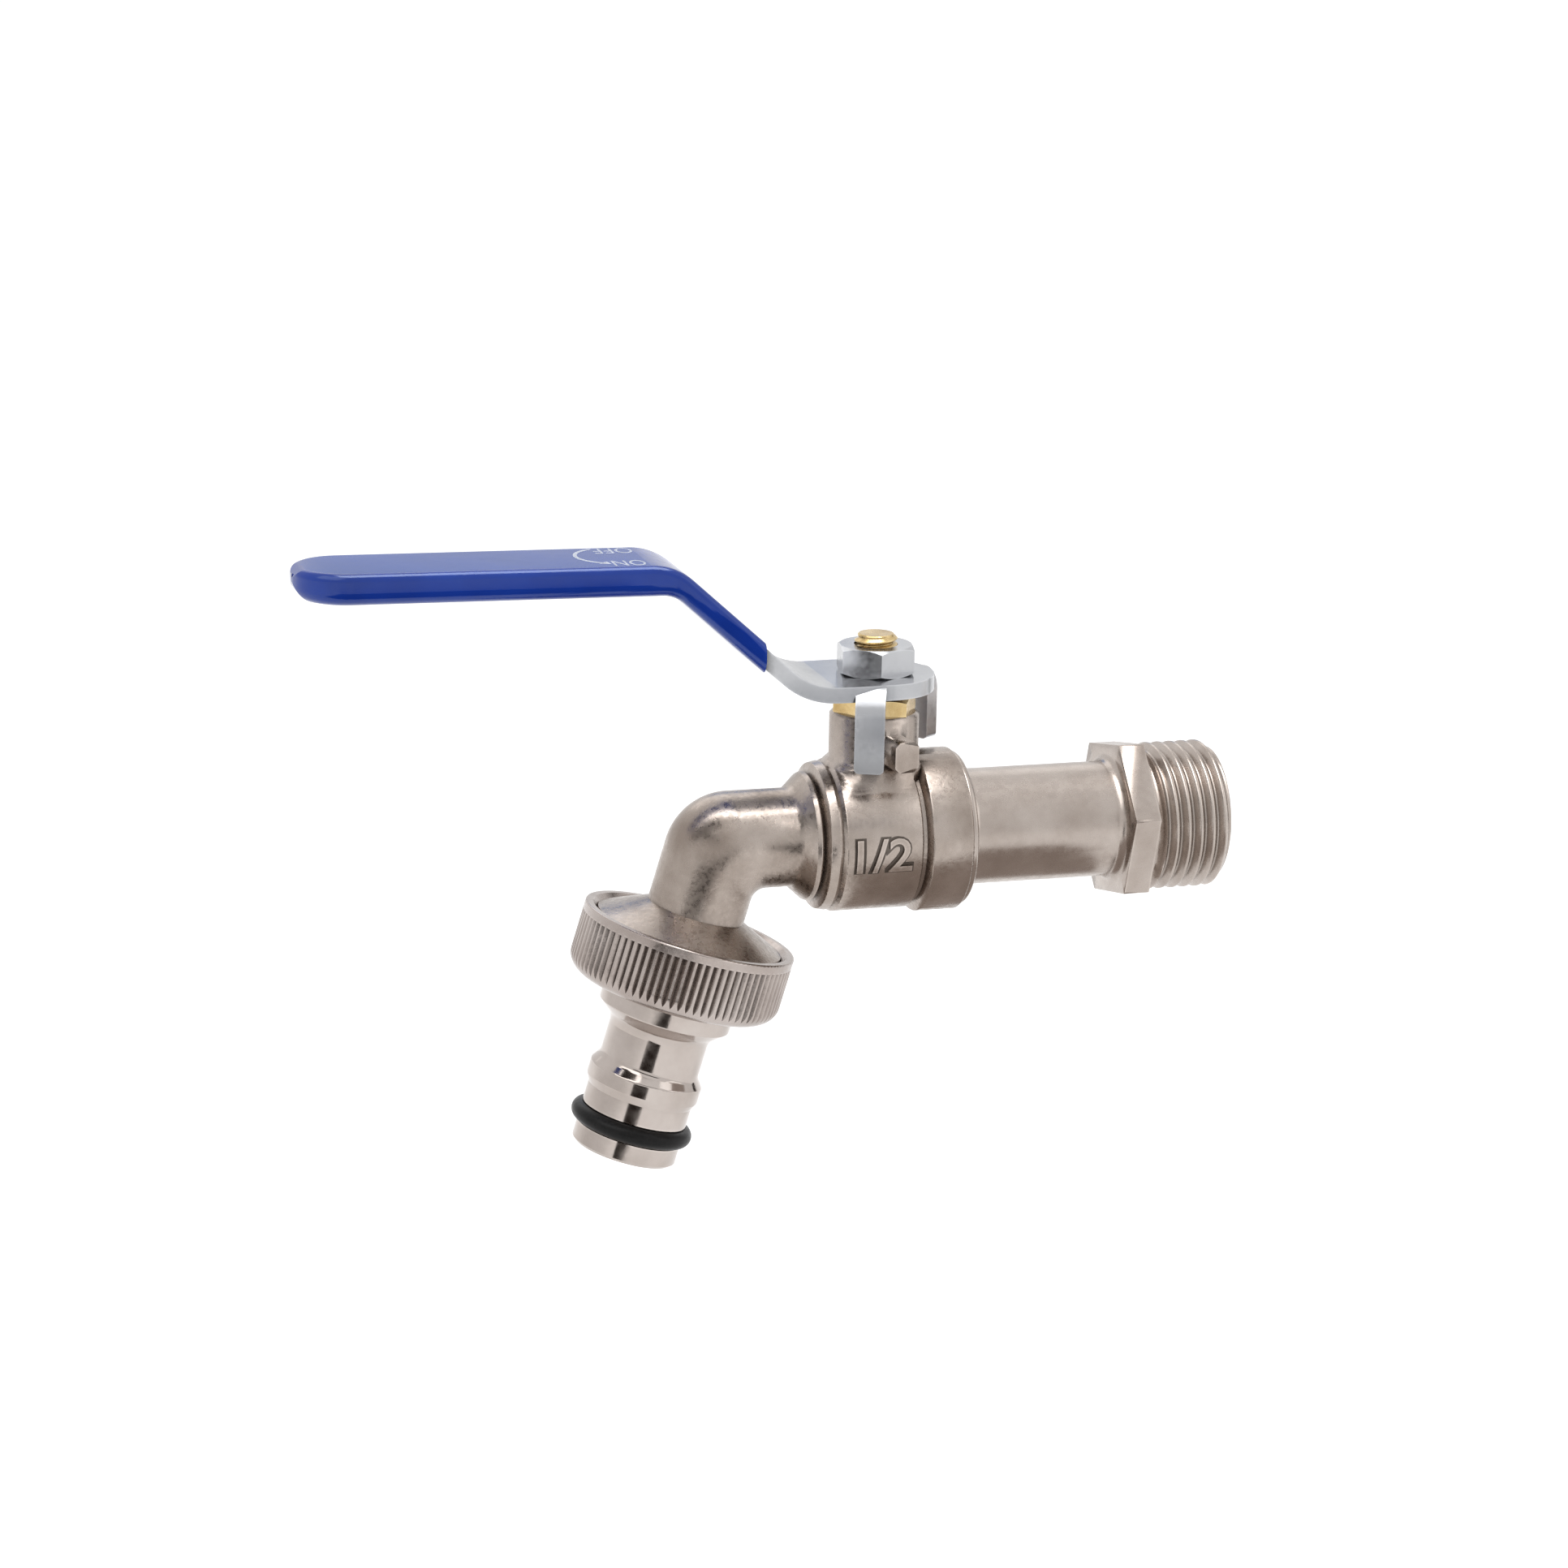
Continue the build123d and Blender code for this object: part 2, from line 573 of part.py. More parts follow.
def rim_edges(solid, up):
    """Edges around the top (up is 1) or the underside (up is -1) of a strip, without the lines across it."""
    edges = solid.faces().filter_by(lambda face: up * face.normal_at().Z > 0.5).edges()
    across = [edge for edge in edges.filter_by(GeomType.LINE) if abs(edge.tangent_at(0.5).Y) > 0.5]
    return [edge for edge in edges if edge not in across]


def nose_cut(corner, up, radius):
    """What is cut from one corner of the sleeve's end, seen from the side, to round it."""
    square = Pos(corner.X + radius / 2, corner.Z - up * radius / 2) * Rectangle(radius, radius)
    rest = Pos(corner.X + radius, corner.Z - up * radius) * Circle(radius)
    return extrude(Plane.XZ * (square - rest), LEVER_WIDTH, both=True)


def make_lever_sleeve(lever):
    """Dipped sleeve over the slant and the grip, thicker along the grip, with a rounded nose."""
    half = PLATE / 2
    above = [half, half + SLEEVE_SLANT_WALL, half + SLEEVE_GRIP_TOP]
    below = [half, half + SLEEVE_SLANT_WALL, half + SLEEVE_GRIP_BOTTOM]
    runs = lever_runs(0, -LEVER_REACH - SLEEVE_END)
    strip = bent_strip(runs, above, below, [LEVER_LOWER_BEND_R, LEVER_UPPER_BEND_R], 2 * HUB_WIDEST)
    outside = strip & extrude(lever_plan(SLEEVE_SIDE, SLEEVE_END), PLATE_TOP_Z + 2 * LEVER_RISE)
    outside = split(outside, bisect_by=Plane((SLEEVE_START_X, 0, 0), z_dir=(-1, 0, 0)), keep=Keep.TOP)
    outside = fillet(rim_edges(outside, 1), SLEEVE_TOP_ROUND)
    outside = fillet(rim_edges(outside, -1), SLEEVE_BOTTOM_ROUND)
    outside -= nose_cut(offset_runs(runs, above)[-1], 1, SLEEVE_NOSE_TOP_R)
    outside -= nose_cut(offset_runs(runs, [-offset for offset in below])[-1], -1, SLEEVE_NOSE_BOTTOM_R)
    return outside - lever


def make_handle_nut():
    """M6 nut that clamps the lever on the stem."""
    nut = Rot(0, 0, NUT_TURN) * hexagon(NUT_FLATS, PLATE_TOP_Z, PLATE_TOP_Z + NUT_HEIGHT)
    return nut - Pos(0, 0, PLATE_TOP_Z) * Cylinder(STEM_SCREW_R + STEM_CLEARANCE, 4 * NUT_HEIGHT)


def make_union_nut():
    """Knurled union nut: plain rim, straight knurl, rounded foot and a lip that holds the nozzle."""
    hole_r = NOZZLE_BOSS_R + NOZZLE_BOSS_CLEARANCE
    outline = [
        (UNION_THREAD_R + UNION_MOUTH, UNION_TOP),
        (UNION_R, UNION_TOP),
        (UNION_R, UNION_BOTTOM),
        (hole_r, UNION_BOTTOM),
        (hole_r, LIP_TOP),
        (UNION_THREAD_R, LIP_TOP),
        (UNION_THREAD_R, UNION_TOP + UNION_MOUTH),
    ]
    nut = turned([(r, -depth) for r, depth in outline], [(1, EDGE_ROUND), (2, UNION_ROUND)])
    cutter = flat_face([
        (UNION_R - KNURL_DEPTH, 0),
        (UNION_R + KNURL_DEPTH, 2 * KNURL_HALF_WIDTH),
        (UNION_R + KNURL_DEPTH, -2 * KNURL_HALF_WIDTH),
    ])
    groove = Pos(0, 0, -UNION_BOTTOM) * extrude(cutter, UNION_HEIGHT - UNION_RIM, dir=(0, 0, 1))
    grooves = [Rot(0, 0, 360 * index / KNURL_COUNT) * groove for index in range(KNURL_COUNT)]
    return OUTLET * (nut - grooves)


def nozzle_stations():
    """Depths down the nozzle: boss foot, neck, ridge, land, ring groove and tip."""
    boss = UNION_BOTTOM + NOZZLE_BOSS_LENGTH
    neck = boss + NOZZLE_CONE_LENGTH
    ramp = neck + NOZZLE_NECK_LENGTH
    ridge = ramp + NOZZLE_RIDGE_RAMP
    ridge_end = ridge + NOZZLE_RIDGE_LENGTH
    land = ridge_end + NOZZLE_LAND_RAMP
    groove = land + NOZZLE_LAND_LENGTH
    groove_end = groove + 2 * (O_RING_SECTION_R + O_RING_SIDE_GAP)
    return boss, neck, ramp, ridge, ridge_end, land, groove, groove_end, groove_end + NOZZLE_TIP_LENGTH


def make_hose_nozzle():
    """Turned nozzle: flange in the union nut, boss, neck, latch ridge, ring groove and tip."""
    boss, neck, ramp, ridge, ridge_end, land, groove, groove_end, tip = nozzle_stations()
    floor_r = O_RING_R - 2 * O_RING_SECTION_R - O_RING_FLOOR_GAP
    flange_end = LIP_TOP - NOZZLE_FLANGE_GAP
    outline = [
        (NOZZLE_BORE_R, NOZZLE_TOP),
        (NOZZLE_FLANGE_R, NOZZLE_TOP),
        (NOZZLE_FLANGE_R, flange_end),
        (NOZZLE_BOSS_R, flange_end),
        (NOZZLE_BOSS_R, boss),
        (NOZZLE_NECK_R, neck),
        (NOZZLE_NECK_R, ramp),
        (NOZZLE_RIDGE_R, ridge),
        (NOZZLE_RIDGE_R, ridge_end),
        (NOZZLE_LAND_R, land),
        (NOZZLE_LAND_R, groove),
        (floor_r, groove),
        (floor_r, groove_end),
        (NOZZLE_LAND_R, groove_end),
        (NOZZLE_LAND_R, tip - NOZZLE_TIP_CHAMFER),
        (NOZZLE_LAND_R - NOZZLE_TIP_CHAMFER, tip),
        (NOZZLE_BORE_R, tip),
    ]
    rounds = [(4, EDGE_ROUND), (5, NOZZLE_CONE_LENGTH), (6, NOZZLE_RIDGE_RAMP)]
    rounds += [(7, NOZZLE_RIDGE_ROUND), (8, NOZZLE_RIDGE_ROUND)]
    return turned_down(outline, rounds)


def make_nozzle_washer():
    """Flat washer squeezed between the spout and the nozzle's flange."""
    ring = [
        (WATERWAY_R, SPOUT_END),
        (NOZZLE_FLANGE_R, SPOUT_END),
        (NOZZLE_FLANGE_R, NOZZLE_TOP),
        (WATERWAY_R, NOZZLE_TOP),
    ]
    return turned_down(ring)


def make_nozzle_o_ring():
    """Ring in the nozzle's groove that seals inside the hose connector."""
    groove, groove_end = nozzle_stations()[6:8]
    middle = (groove + groove_end) / 2
    return OUTLET * (Pos(0, 0, -middle) * Torus(O_RING_R - O_RING_SECTION_R, O_RING_SECTION_R))


LEVER = make_lever()
PARTS = {
    "body": make_body(),
    "inlet_tail": make_inlet_tail(),
    "ball": make_ball(),
    "seat_ring_inlet": make_seat_ring(1),
    "seat_ring_outlet": make_seat_ring(-1),
    "stem": make_stem(),
    "stem_thrust_washer": make_stem_thrust_washer(),
    "stem_packing": make_stem_packing(),
    "gland_nut": make_gland_nut(),
    "lever": LEVER,
    "lever_sleeve": make_lever_sleeve(LEVER),
    "handle_nut": make_handle_nut(),
    "union_nut": make_union_nut(),
    "hose_nozzle": make_hose_nozzle(),
    "nozzle_washer": make_nozzle_washer(),
    "nozzle_o_ring": make_nozzle_o_ring(),
}

os.makedirs("parts", exist_ok=True)
for name, part in PARTS.items():
    export_step(Pos(-SHOULDER_X, 0, 0) * part, f"parts/{name}.step")
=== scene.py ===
import json
from math import atan2, cos, hypot, pi, radians, sin

import bmesh
import bpy
from mathutils import Matrix, Vector
from mathutils.bvhtree import BVHTree


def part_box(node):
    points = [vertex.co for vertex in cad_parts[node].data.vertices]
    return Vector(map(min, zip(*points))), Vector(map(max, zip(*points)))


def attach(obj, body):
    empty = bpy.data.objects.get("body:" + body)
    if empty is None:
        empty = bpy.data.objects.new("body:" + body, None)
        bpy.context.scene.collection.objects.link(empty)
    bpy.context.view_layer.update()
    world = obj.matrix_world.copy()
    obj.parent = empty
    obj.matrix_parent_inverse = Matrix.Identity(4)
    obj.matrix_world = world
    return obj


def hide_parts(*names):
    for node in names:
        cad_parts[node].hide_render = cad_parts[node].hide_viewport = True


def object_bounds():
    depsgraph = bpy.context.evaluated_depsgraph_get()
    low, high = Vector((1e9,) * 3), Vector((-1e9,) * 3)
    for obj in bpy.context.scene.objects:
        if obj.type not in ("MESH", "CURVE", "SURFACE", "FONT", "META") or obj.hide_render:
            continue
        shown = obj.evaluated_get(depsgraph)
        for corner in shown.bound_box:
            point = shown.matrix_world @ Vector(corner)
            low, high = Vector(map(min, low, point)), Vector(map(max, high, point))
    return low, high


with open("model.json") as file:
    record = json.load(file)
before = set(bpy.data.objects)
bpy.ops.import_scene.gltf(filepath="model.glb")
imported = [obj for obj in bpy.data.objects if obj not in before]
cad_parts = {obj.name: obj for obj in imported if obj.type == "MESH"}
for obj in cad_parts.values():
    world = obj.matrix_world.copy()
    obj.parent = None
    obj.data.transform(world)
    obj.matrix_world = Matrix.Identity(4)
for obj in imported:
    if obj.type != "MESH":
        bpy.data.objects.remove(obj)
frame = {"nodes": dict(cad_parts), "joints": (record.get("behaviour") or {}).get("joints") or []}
cad_low, cad_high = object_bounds()

MM = 0.001
JOINTS = {joint["name"]: joint for joint in frame["joints"]}
STEM_X = JOINTS["lever_turn"]["pos_m"][0]
ELBOW = Vector(JOINTS["collar_turn"]["pos_m"])
OUTLET_DOWN = Vector(JOINTS["collar_turn"]["axis"])

# Mesh work: merging distances, and the angles in degrees past which an edge is shaded sharp
CAD_MERGE = 0.002 * MM
THREAD_MERGE = 0.001 * MM
RIM_TOLERANCE = 0.001 * MM
LETTER_MERGE = 1e-5
CREASE = 35
CAST_CREASE = 20
THREAD_CREASE = 50

# Ridge of a screw thread over one pitch: place along the pitch and share of the depth
RIDGE = [
    (0.00, 0.0), (0.06, 0.02), (0.13, 0.12), (0.38, 0.90), (0.44, 0.99),
    (0.56, 0.99), (0.62, 0.90), (0.87, 0.12), (0.94, 0.02), (1.00, 0.0),
]
STEPS_PER_TURN = 72
LEAD_IN_PITCHES = 1.5
RELIEF_RISE = 1.4

# Inlet thread: pipe thread of half-inch size, with its relief groove at the hexagon
INLET_MAJOR_R = 10.478 * MM
INLET_MINOR_R = 9.40 * MM
INLET_PITCH = 1.814 * MM
INLET_RELIEF_R = 9.35 * MM
INLET_RELIEF_WIDTH = 0.9 * MM
INLET_BORE_R = 6.0 * MM
INLET_CHAMFER = 1.0 * MM
BORE_CHAMFER = 0.5 * MM
INLET_END_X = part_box("inlet_tail")[1].x

# Outlet thread: pipe thread of three-quarter-inch size, under the flare.
# Its start and end are measured down the outlet from the elbow.
OUTLET_MAJOR_R = 13.22 * MM
OUTLET_MINOR_R = 12.06 * MM
OUTLET_PITCH = 1.814 * MM
OUTLET_BORE_R = 4.95 * MM
OUTLET_START = 13.6 * MM
OUTLET_END = 17.5 * MM
OUTLET_CHAMFER = 0.5 * MM

# Screwed end of the stem, from inside the nut to a slight hollow in its top
STEM_MAJOR_R = 3.0 * MM
STEM_MINOR_R = 2.45 * MM
STEM_PITCH = 1.0 * MM
STEM_CHAMFER = 0.6 * MM
STEM_START_DEPTH = 1.0 * MM
STEM_RIM_STEP = 0.25 * MM
STEM_HOLLOW_R = 0.5 * MM
STEM_HOLLOW_DEPTH = 0.05 * MM
STEM_TOP_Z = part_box("stem")[1].z
NUT_TOP_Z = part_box("handle_nut")[1].z

# Size mark cast on the barrel, with painted shade round the numerals' feet
BARREL_R = 10.7 * MM
SIZE_MARK_X = STEM_X - 1.4 * MM
SIZE_MARK_TILT = radians(-2.5)
SIZE_MARK_HEIGHT = 4.7 * MM
SIZE_MARK_WIDTH = 8.0 * MM
SIZE_MARK_PROUD = 0.42 * MM
SIZE_MARK_WEIGHT = 0.01
# Darker, wider layer under the numerals: painted shade round their feet
MARK_SHADE_SPILL = 0.28 * MM
MARK_SHADE_PROUD = 0.10 * MM
MARK_SHADE_WEIGHT = 0.065
MARK_SUNK = 0.3 * MM
MARK_STEP = 0.5 * MM

# Print on top of the grip; angles in degrees
PRINT_PROUD = 0.03 * MM
PRINT_HEIGHT = 3.3 * MM
ARC_CENTRE = (STEM_X - 37.6 * MM, 0.7 * MM)
ARC_R = 5.0 * MM
ARC_WIDTH = 0.55 * MM
ARC_START = 112
ARC_SWEEP = 135
ARC_STEPS = 28
ARROW_R = 1.0 * MM
ARROW_TURN = -20
# Each word with its width and its place from the stem, along and across the grip
PRINT_WORDS = (("OFF", 5.5 * MM, -36.7 * MM, 4.0 * MM), ("ON", 4.5 * MM, -36.4 * MM, -4.2 * MM))

# On plated metal: painted highlight with wear on edges and painted shade with grime in corners, how far each
# reaches, and its shade
WEAR_AND_HIGHLIGHT_REACH = 0.35 * MM
GRIME_AND_SHADE_REACH = 0.7 * MM
SLEEVE_WEAR_AND_HIGHLIGHT_REACH = 0.6 * MM
WEAR_AND_HIGHLIGHT_GAIN = 1.45
GRIME_AND_SHADE_DARKNESS = 0.22
EDGE_SAMPLES = 6
EDGE_RANGE = (0.45, 0.92)

# Studio floor and fill
FLOOR_REACH = 6.0
FLOOR_DROP = 25 * MM
FLOOR_COLOUR = (0.82, 0.82, 0.82, 1)
FLOOR_ROUGHNESS = 0.9
FLOOR_GLOW = 0.66
WORLD_FILL = 0.40

# Camera of the photograph; the focal length is in pixels of the photograph
PHOTO_SIDE = 1932
PHOTO_FOCAL = 5284.8
SENSOR_WIDTH = 36.0
CAMERA_AZIMUTH = radians(16.654)
CAMERA_ELEVATION = radians(14.710)
CAMERA_ROLL = radians(1.138)
CAMERA_AWAY = 600.0 * MM
CAMERA_RIGHT = 12.189 * MM
CAMERA_UP = -6.670 * MM

# Soft lamps: name, place and target from the tap's middle in metres, size, watts
LAMPS = [
    ("key_lamp", (-0.5, -0.4, 0.9), (0, 0, 0), (0.9, 0.9), 4.0),
    ("fill_lamp", (0.9, -0.5, 0.5), (0, 0, 0), (0.6, 0.8), 1.0),
    ("back_lamp", (0.0, 0.9, 0.7), (0, 0, 0), (0.9, 0.5), 1.0),
    ("edge_lamp", (0.20, -0.02, 0.95), (-0.06, 0, 0), (0.7, 0.12), 0.3),
]

# Cards that shiny surfaces reflect: name, place and target in metres, size, colour, strength
DARK = (0.022, 0.015, 0.012)
WARM_GREY = (0.44, 0.38, 0.35)
PALE_GREY = (0.78, 0.79, 0.81)
MID_GREY = (0.2, 0.2, 0.2)
SKY_BLUE = (0.26, 0.40, 0.72)
WHITE = (1, 1, 1)
CARDS = [
    ("front_card", (-0.0825, -0.055, -0.0085), (-0.064, 0, -0.006), (0.066, 0.011), DARK, 1.0),
    ("nozzle_card", (-0.137, -0.149, -0.0575), (-0.075, 0, -0.0475), (0.084, 0.043), DARK, 1.0),
    ("under_card", (-0.0235, -0.015, -0.015), (-0.0235, -0.015, 0.5), (0.039, 0.030), WARM_GREY, 1.0),
    ("sleeve_card", (-0.096, -0.022, 0.0325), (-0.096, -0.022, 0.5), (0.054, 0.024), DARK, 1.0),
    ("slope_card", (-0.0640, -0.014, 0.026), (-0.0640, 0, 0.026), (0.016, 0.014), DARK, 1.0),
    ("edge_card", (-0.0405, -0.0275, 0.0148), (-0.0405, 0, 0.0148), (0.021, 0.008), PALE_GREY, 1.0),
    ("right_card", (0.30, 0.16, 0.02), (-0.06, 0, 0), (0.06, 0.40), DARK, 1.0),
    ("grip_card", (0.030, 0.46, 0.193), (-0.095, 0, 0.04), (0.13, 0.11), SKY_BLUE, 1.0),
    ("nut_card", (-0.075, -0.022, 0.016), (-0.042, -0.004, 0.025), (0.022, 0.010), MID_GREY, 1.0),
    ("grip_glow", (-0.072, -0.012, 0.13), (-0.090, -0.010, 0.04), (0.065, 0.11), WHITE, 8.0),
]


def put(name, mesh, body, finish):
    """A finished piece: its mesh in the part's frame, riding on a body, with one finish."""
    piece = bpy.data.objects.new(name, mesh)
    bpy.context.scene.collection.objects.link(piece)
    mesh.materials.clear()
    mesh.materials.append(finish)
    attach(piece, body)
    return piece


def baked(name, bm, crease=CREASE):
    """The bmesh as a mesh with smooth faces and sharp edges past the crease angle."""
    for face in bm.faces:
        face.smooth = True
    mesh = bpy.data.meshes.new(name)
    bm.to_mesh(mesh)
    bm.free()
    mesh.set_sharp_from_angle(angle=radians(crease))
    return mesh


def node_copy(node):
    """A merged copy of a CAD node's mesh."""
    bm = bmesh.new()
    bm.from_mesh(frame["nodes"][node].data)
    bmesh.ops.remove_doubles(bm, verts=bm.verts, dist=CAD_MERGE)
    return bm


def trim(bm, point, normal):
    """Cuts the bmesh by a plane and drops what the normal points to."""
    everything = list(bm.verts) + list(bm.edges) + list(bm.faces)
    bmesh.ops.bisect_plane(bm, geom=everything, plane_co=point, plane_no=normal, clear_outer=True)


def open_edges(bm):
    """Edges with a face on one side only."""
    return [e for e in bm.edges if e.is_boundary]


def rim_edges(bm, height):
    """Open edges that lie at a height on the Z axis."""
    return [e for e in open_edges(bm) if all(abs(v.co.z - height) < RIM_TOLERANCE for v in e.verts)]


def set_ring(verts, radius, height):
    """Moves each vertex to the radius and height, keeping its direction from the axis."""
    for vert in verts:
        turn = atan2(vert.co.y, vert.co.x)
        vert.co = Vector((radius * cos(turn), radius * sin(turn), height))


def grow_ring(bm, edges, radius, height):
    """Extrudes an open rim to a new ring and returns the new ring's edges."""
    made = bmesh.ops.extrude_edge_only(bm, edges=edges)["geom"]
    set_ring([g for g in made if isinstance(g, bmesh.types.BMVert)], radius, height)
    return [g for g in made if isinstance(g, bmesh.types.BMEdge) and g.is_boundary]


def screw_thread(major_r, minor_r, pitch, start, end, chamfer, groove_r=None, groove=0.0):
    """Open skin of a right-hand screw thread on Z: one ridge spun along a helix, trimmed at both ends."""
    bm = bmesh.new()
    low = start - LEAD_IN_PITCHES * pitch
    depth = major_r - minor_r
    verts = [bm.verts.new((minor_r + depth * out, 0, low + pitch * along)) for along, out in RIDGE]
    edges = [bm.edges.new(pair) for pair in zip(verts, verts[1:])]
    turns = int((end - low) / pitch) + 2
    bmesh.ops.spin(bm, geom=verts + edges, axis=(0, 0, 1), cent=(0, 0, 0),
                   dvec=(0, 0, pitch / STEPS_PER_TURN), angle=2 * pi * turns,
                   steps=STEPS_PER_TURN * turns, use_duplicate=False)
    bmesh.ops.remove_doubles(bm, verts=bm.verts, dist=THREAD_MERGE)
    trim(bm, (0, 0, end), (0, 0, 1))
    trim(bm, (0, 0, start), (0, 0, -1))
    for vert in bm.verts:
        limit = major_r - max(0.0, vert.co.z - (end - chamfer))
        if groove_r:
            limit = min(limit, groove_r + max(0.0, vert.co.z - (start + groove)) * RELIEF_RISE)
        reach = hypot(vert.co.x, vert.co.y)
        if reach > limit:
            vert.co.x *= limit / reach
            vert.co.y *= limit / reach
    return bm


# Finishes

def link(tree, source, target):
    """Joins an output socket to an input socket."""
    tree.links.new(source, target)


def shader_nodes(name):
    """A new material with its node tree and principled shader."""
    material = bpy.data.materials.new(name)
    material.use_nodes = True
    tree = material.node_tree
    return material, tree, tree.nodes["Principled BSDF"]


def object_coords(tree):
    """The piece's own coordinates, in metres."""
    return tree.nodes.new("ShaderNodeTexCoord").outputs["Object"]


def noise(tree, coords, scale, detail=3.0, roughness=0.55):
    """Noise on object coordinates; scale is per metre."""
    node = tree.nodes.new("ShaderNodeTexNoise")
    node.inputs["Scale"].default_value = scale
    node.inputs["Detail"].default_value = detail
    node.inputs["Roughness"].default_value = roughness
    link(tree, coords, node.inputs["Vector"])
    return node.outputs["Fac"]


def ramp(tree, source, stops):
    """Colour ramp through (position, colour) stops."""
    node = tree.nodes.new("ShaderNodeValToRGB")
    while len(node.color_ramp.elements) < len(stops):
        node.color_ramp.elements.new(0.5)
    for element, (position, colour) in zip(node.color_ramp.elements, stops):
        element.position = position
        element.color = (*colour, 1.0)
    link(tree, source, node.inputs["Fac"])
    return node.outputs["Color"]


def spread(tree, source, low, high, from_low=0.3, from_high=0.7):
    """Maps a value to a range; the limits it comes from suit a noise."""
    node = tree.nodes.new("ShaderNodeMapRange")
    node.inputs["From Min"].default_value = from_low
    node.inputs["From Max"].default_value = from_high
    node.inputs["To Min"].default_value = low
    node.inputs["To Max"].default_value = high
    link(tree, source, node.inputs["Value"])
    return node.outputs["Result"]


def relief(tree, shader, layers):
    """Bump layers as (height source, strength, distance), one over another."""
    before = None
    for height, strength, distance in layers:
        node = tree.nodes.new("ShaderNodeBump")
        node.inputs["Strength"].default_value = strength
        node.inputs["Distance"].default_value = distance
        link(tree, height, node.inputs["Height"])
        if before:
            link(tree, before, node.inputs["Normal"])
        before = node.outputs["Normal"]
    link(tree, before, shader.inputs["Normal"])


def edge_mask(tree, outer, reach):
    """From 0 to 1: how near a point is to an outer edge, or else to a corner between two faces."""
    node = tree.nodes.new("ShaderNodeAmbientOcclusion")
    node.samples = EDGE_SAMPLES
    node.inside = outer
    node.only_local = True
    node.inputs["Distance"].default_value = reach
    return spread(tree, node.outputs["AO"], 1.0, 0.0, *EDGE_RANGE)


def combined(tree, operation, first, second):
    """Two values put together by a math operation; the second may be a plain number."""
    node = tree.nodes.new("ShaderNodeMath")
    node.operation = operation
    link(tree, first, node.inputs[0])
    if isinstance(second, float):
        node.inputs[1].default_value = second
    else:
        link(tree, second, node.inputs[1])
    return node.outputs[0]


def tinted(tree, colour, mask, tint):
    """The colour, going over to a tint where the mask is 1."""
    node = tree.nodes.new("ShaderNodeMix")
    node.data_type = "RGBA"
    link(tree, mask, node.inputs["Factor"])
    link(tree, colour, node.inputs[6])
    node.inputs[7].default_value = (*tint, 1.0)
    return node.outputs[2]


def plated_metal(name, shades, rough, grain, grain_depth, blotch=120.0, grain_strength=0.5, wear_and_highlight=0.6,
                 grime_and_shade=0.7, detail=4.0):
    """Plated metal with an uneven shine and a fine grain; edges lighter with painted highlight and wear,
    corners darker with painted shade and grime.

    shades is dark, middle and light; rough is the least and the greatest roughness."""
    material, tree, shader = shader_nodes(name)
    coords = object_coords(tree)
    broad = noise(tree, coords, blotch, detail)
    fine = noise(tree, coords, grain, 2.0, 0.5)
    dark, middle, light = shades
    colour = ramp(tree, broad, [(0.30, dark), (0.5, middle), (0.72, light)])
    # Edges go lighter: painted highlight, with wear
    wear_and_highlight_mask = combined(tree, "MULTIPLY", edge_mask(tree, True, WEAR_AND_HIGHLIGHT_REACH), spread(tree, broad, 0.4 * wear_and_highlight, wear_and_highlight))
    # Corners go darker: painted shade where occlusion falls, with grime
    grime_and_shade_mask = combined(tree, "MULTIPLY", edge_mask(tree, False, GRIME_AND_SHADE_REACH),
                     spread(tree, fine, 0.7 * grime_and_shade, grime_and_shade))
    colour = tinted(tree, colour, wear_and_highlight_mask, [min(1.0, WEAR_AND_HIGHLIGHT_GAIN * part) for part in light])
    colour = tinted(tree, colour, grime_and_shade_mask, [GRIME_AND_SHADE_DARKNESS * part for part in dark])
    link(tree, colour, shader.inputs["Base Color"])
    link(tree, spread(tree, fine, *rough), shader.inputs["Roughness"])
    relief(tree, shader, [(fine, grain_strength, grain_depth), (broad, 0.15, 0.05 * MM)])
    shader.inputs["Metallic"].default_value = 1.0
    return material


def dipped_sleeve():
    """Blue dipped vinyl with a faint orange-peel skin, paler on edges with painted highlight and wear."""
    material, tree, shader = shader_nodes("blue_sleeve")
    coords = object_coords(tree)
    broad = noise(tree, coords, 90.0, 3.0)
    peel = noise(tree, coords, 420.0, 2.0)
    stops = [(0.3, (0.006, 0.036, 0.32)), (0.55, (0.008, 0.045, 0.39)), (0.8, (0.011, 0.056, 0.45))]
    # Edges go paler blue: painted highlight, with wear
    wear_and_highlight_mask = combined(tree, "MULTIPLY", edge_mask(tree, True, SLEEVE_WEAR_AND_HIGHLIGHT_REACH),
                      spread(tree, broad, 0.2, 0.5))
    colour = tinted(tree, ramp(tree, broad, stops), wear_and_highlight_mask, (0.03, 0.09, 0.48))
    link(tree, colour, shader.inputs["Base Color"])
    link(tree, spread(tree, peel, 0.15, 0.21), shader.inputs["Roughness"])
    relief(tree, shader, [(peel, 0.03, 0.02 * MM), (broad, 0.10, 0.10 * MM)])
    shader.inputs["Specular IOR Level"].default_value = 0.35
    shader.inputs["Specular Tint"].default_value = (0.6, 0.8, 1.0, 1.0)
    shader.inputs["Coat Weight"].default_value = 0.3
    shader.inputs["Coat Roughness"].default_value = 0.09
    return material


def plain_skin(name, shades, rough, sheen=0.5):
    """Rubber, seat plastic or print: soft sheen with a fine skin."""
    material, tree, shader = shader_nodes(name)
    fine = noise(tree, object_coords(tree), 1800.0, 2.0)
    link(tree, ramp(tree, fine, [(0.3, shades[0]), (0.7, shades[1])]), shader.inputs["Base Color"])
    link(tree, spread(tree, fine, *rough), shader.inputs["Roughness"])
    relief(tree, shader, [(fine, 0.2, 0.01 * MM)])
    shader.inputs["Specular IOR Level"].default_value = sheen
    return material


